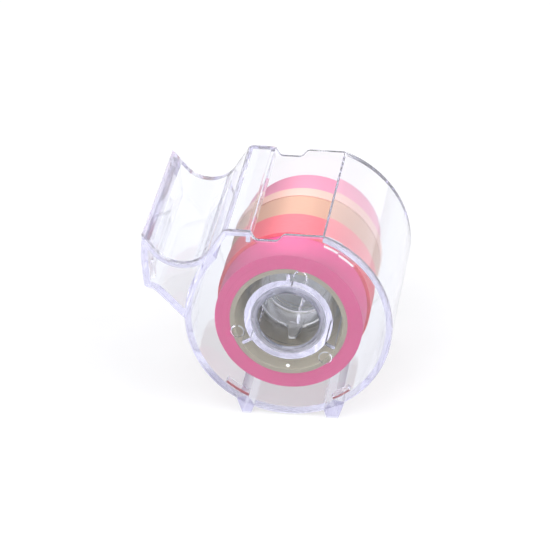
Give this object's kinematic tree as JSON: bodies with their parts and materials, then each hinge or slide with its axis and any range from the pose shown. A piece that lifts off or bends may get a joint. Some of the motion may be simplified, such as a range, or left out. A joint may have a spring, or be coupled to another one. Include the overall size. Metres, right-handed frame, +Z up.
{
  "type": "multi-roll tape dispenser",
  "caption": "Clear desk dispenser with a pull-off side cover and a finger trough, holding narrow rolls of coloured paper tape side by side on a ribbed hub.",
  "frame": {"origin": "middle of the footprint on the surface it stands on; the roll axis is at x 0.005225, z 0.0259, and the middle of the hub's tube 0.6 mm above it", "axes": "+X from the cutting lip towards the round back, +Y along the roll axis from the side cover to the closed side, +Z up"},
  "size_m": [0.0614, 0.048, 0.0503],
  "materials": {
    "clear_plastic": "clear injection-moulded polystyrene with a faint lavender cast, polished, with pin marks and a gate dot",
    "cardboard": "spiral-wound grey board core with cut ends",
    "tape_magenta": "wound coloured paper tape, matte crepe on the outside and fine layer lines on the cut sides",
    "tape_coral": "wound coloured paper tape, matte crepe on the outside and fine layer lines on the cut sides",
    "tape_apricot": "wound coloured paper tape, matte crepe on the outside and fine layer lines on the cut sides",
    "tape_blush": "wound coloured paper tape, matte crepe on the outside and fine layer lines on the cut sides",
    "tape_rose": "wound coloured paper tape, matte crepe on the outside and fine layer lines on the cut sides"
  },
  "bodies": {
    "case": {"case_body": "clear_plastic"},
    "cover": {"side_cover": "clear_plastic"},
    "roll_magenta": {"core_magenta": "cardboard", "tape_magenta": "tape_magenta"},
    "roll_coral": {"core_coral": "cardboard", "tape_coral": "tape_coral"},
    "roll_apricot": {"core_apricot": "cardboard", "tape_apricot": "tape_apricot"},
    "roll_blush": {"core_blush": "cardboard", "tape_blush": "tape_blush"},
    "roll_rose": {"core_rose": "cardboard", "tape_rose": "tape_rose"}
  },
  "joints": [
    {"name": "cover_pull", "type": "slide", "parent": "case", "child": "cover", "axis": [0, -1, 0], "range_m": [0, 0.03]},
    {"name": "magenta_spin", "type": "hinge", "parent": "case", "child": "roll_magenta", "pos_m": [0.00523, 0, 0.0259], "axis": [0, 1, 0], "continuous": true},
    {"name": "coral_spin", "type": "hinge", "parent": "case", "child": "roll_coral", "pos_m": [0.00523, 0, 0.0259], "axis": [0, 1, 0], "continuous": true},
    {"name": "apricot_spin", "type": "hinge", "parent": "case", "child": "roll_apricot", "pos_m": [0.00523, 0, 0.0259], "axis": [0, 1, 0], "continuous": true},
    {"name": "blush_spin", "type": "hinge", "parent": "case", "child": "roll_blush", "pos_m": [0.00523, 0, 0.0259], "axis": [0, 1, 0], "continuous": true},
    {"name": "rose_spin", "type": "hinge", "parent": "case", "child": "roll_rose", "pos_m": [0.00523, 0, 0.0259], "axis": [0, 1, 0], "continuous": true}
  ]
}
